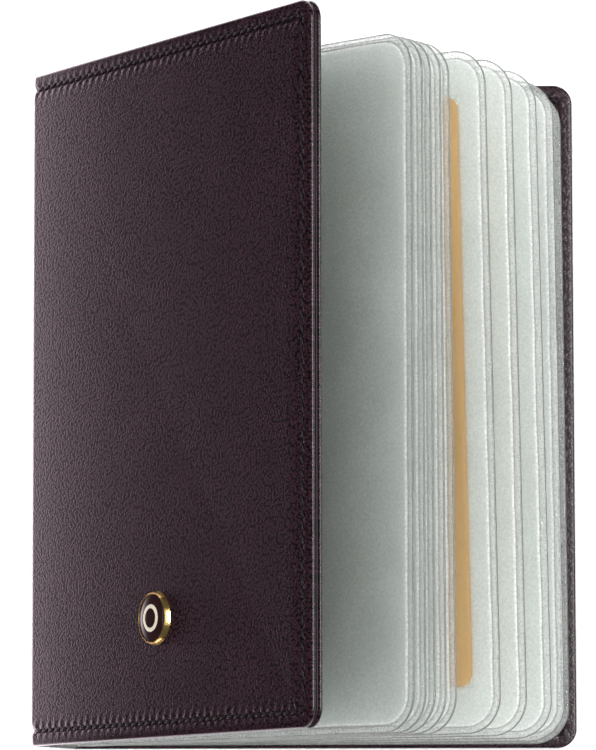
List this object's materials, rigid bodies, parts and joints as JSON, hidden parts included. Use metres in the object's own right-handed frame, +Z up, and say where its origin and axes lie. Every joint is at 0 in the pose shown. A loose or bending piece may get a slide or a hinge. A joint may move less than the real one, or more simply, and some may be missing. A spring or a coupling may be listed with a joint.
{
  "type": "business card case",
  "caption": "Book-style leather card case lying partly open, with a fan of clear rounded pocket leaves between two stitched covers and a small round badge on the front.",
  "frame": {"origin": "middle of the case's footprint as it lies partly open, on the surface that it lies on", "axes": "+X from the spine to the free edges, +Y along the spine from tail to head, +Z up, out of the inside of the back cover"},
  "size_m": [0.0848, 0.105, 0.0772],
  "materials": {
    "cover_leather": "smooth dark burgundy-brown calf, fine grain, satin",
    "sleeve_leather": "smooth dark brown calf, satin",
    "lining": "thin dark brown skiver lining, matt",
    "board": "grey-brown binder's board",
    "thread": "waxed dark brown twisted thread",
    "vinyl": "frosted clear vinyl film, welded edges",
    "card_stock": "ochre card, matt",
    "gilt_metal": "polished gold plate",
    "dark_enamel": "glossy dark resin dome",
    "pale_enamel": "glossy cream enamel ring",
    "plated_steel": "plated steel washer"
  },
  "bodies": {
    "back_cover": {"back_leather": "cover_leather", "back_board": "board", "back_lining": "lining", "back_sleeve": "sleeve_leather", "back_seam_thread": "thread", "back_sleeve_thread": "thread", "insert_back_flap": "vinyl"},
    "spine": {"spine_leather": "cover_leather", "spine_stiffener": "board", "spine_lining": "lining", "spine_seam_thread": "thread", "insert_binding": "vinyl"},
    "front_cover": {"front_leather": "cover_leather", "front_board": "board", "front_lining": "lining", "front_sleeve": "sleeve_leather", "front_seam_thread": "thread", "front_sleeve_thread": "thread", "insert_front_flap": "vinyl", "badge_bezel": "gilt_metal", "badge_dome": "dark_enamel", "badge_inlay": "pale_enamel", "badge_post": "gilt_metal", "badge_washer": "plated_steel"},
    "leaf_01": {"leaf_01_rear_film": "vinyl", "leaf_01_front_film": "vinyl"},
    "leaf_02": {"leaf_02_rear_film": "vinyl", "leaf_02_front_film": "vinyl"},
    "leaf_03": {"leaf_03_rear_film": "vinyl", "leaf_03_front_film": "vinyl"},
    "leaf_04": {"leaf_04_rear_film": "vinyl", "leaf_04_front_film": "vinyl"},
    "leaf_05": {"leaf_05_rear_film": "vinyl", "leaf_05_front_film": "vinyl"},
    "leaf_06": {"leaf_06_rear_film": "vinyl", "leaf_06_front_film": "vinyl"},
    "leaf_07": {"leaf_07_rear_film": "vinyl", "leaf_07_front_film": "vinyl"},
    "leaf_08": {"leaf_08_rear_film": "vinyl", "leaf_08_front_film": "vinyl"},
    "leaf_09": {"leaf_09_rear_film": "vinyl", "leaf_09_front_film": "vinyl"},
    "leaf_10": {"leaf_10_rear_film": "vinyl", "leaf_10_front_film": "vinyl"},
    "business_card": {"business_card": "card_stock"}
  },
  "joints": [
    {"name": "spine_fold", "type": "hinge", "parent": "back_cover", "child": "spine", "pos_m": [-0.03593, 0, 0.001], "axis": [0, -1, 0], "range_deg": [-28.45, 61.55]},
    {"name": "cover_fold", "type": "hinge", "parent": "spine", "child": "front_cover", "pos_m": [-0.04137, 0, 0.01102], "axis": [0, -1, 0], "range_deg": [-28.46, 61.56]},
    {"name": "leaf_01_turn", "type": "hinge", "parent": "spine", "child": "leaf_01", "pos_m": [-0.03874, 0, 0.01026], "axis": [0, -1, 0], "range_deg": [-15.87, 34.31]},
    {"name": "leaf_02_turn", "type": "hinge", "parent": "spine", "child": "leaf_02", "pos_m": [-0.03834, 0, 0.00953], "axis": [0, -1, 0], "range_deg": [-14.47, 31.28]},
    {"name": "leaf_03_turn", "type": "hinge", "parent": "spine", "child": "leaf_03", "pos_m": [-0.03794, 0, 0.00879], "axis": [0, -1, 0], "range_deg": [-13.47, 29.12]},
    {"name": "leaf_04_turn", "type": "hinge", "parent": "spine", "child": "leaf_04", "pos_m": [-0.03754, 0, 0.00805], "axis": [0, -1, 0], "range_deg": [-12.07, 26.09]},
    {"name": "leaf_05_turn", "type": "hinge", "parent": "spine", "child": "leaf_05", "pos_m": [-0.03714, 0, 0.00731], "axis": [0, -1, 0], "range_deg": [-10.87, 23.49]},
    {"name": "leaf_06_turn", "type": "hinge", "parent": "spine", "child": "leaf_06", "pos_m": [-0.03674, 0, 0.00657], "axis": [0, -1, 0], "range_deg": [-3.17, 6.83]},
    {"name": "leaf_07_turn", "type": "hinge", "parent": "spine", "child": "leaf_07", "pos_m": [-0.03634, 0, 0.00583], "axis": [0, -1, 0], "range_deg": [-6.4, 2.97]},
    {"name": "leaf_08_turn", "type": "hinge", "parent": "spine", "child": "leaf_08", "pos_m": [-0.03594, 0, 0.00509], "axis": [0, -1, 0], "range_deg": [-23.28, 10.77]},
    {"name": "leaf_09_turn", "type": "hinge", "parent": "spine", "child": "leaf_09", "pos_m": [-0.03553, 0, 0.00436], "axis": [0, -1, 0], "range_deg": [-40.15, 18.57]},
    {"name": "leaf_10_turn", "type": "hinge", "parent": "spine", "child": "leaf_10", "pos_m": [-0.03513, 0, 0.00362], "axis": [0, -1, 0], "range_deg": [-54.86, 25.37]},
    {"name": "card_slide", "type": "slide", "parent": "leaf_06", "child": "business_card", "axis": [-0.8517, 0, -0.524], "range_m": [0, 0.015]}
  ],
  "couplings": [
    {"joint": "cover_fold", "follows": "spine_fold", "ratio": 1},
    {"joint": "leaf_01_turn", "follows": "spine_fold", "ratio": 0.55712},
    {"joint": "leaf_02_turn", "follows": "spine_fold", "ratio": 0.50791},
    {"joint": "leaf_03_turn", "follows": "spine_fold", "ratio": 0.47276},
    {"joint": "leaf_04_turn", "follows": "spine_fold", "ratio": 0.42355},
    {"joint": "leaf_05_turn", "follows": "spine_fold", "ratio": 0.38137},
    {"joint": "leaf_06_turn", "follows": "spine_fold", "ratio": 0.11072},
    {"joint": "leaf_07_turn", "follows": "spine_fold", "ratio": -0.10369},
    {"joint": "leaf_08_turn", "follows": "spine_fold", "ratio": -0.37786},
    {"joint": "leaf_09_turn", "follows": "spine_fold", "ratio": -0.65202},
    {"joint": "leaf_10_turn", "follows": "spine_fold", "ratio": -0.89104}
  ]
}
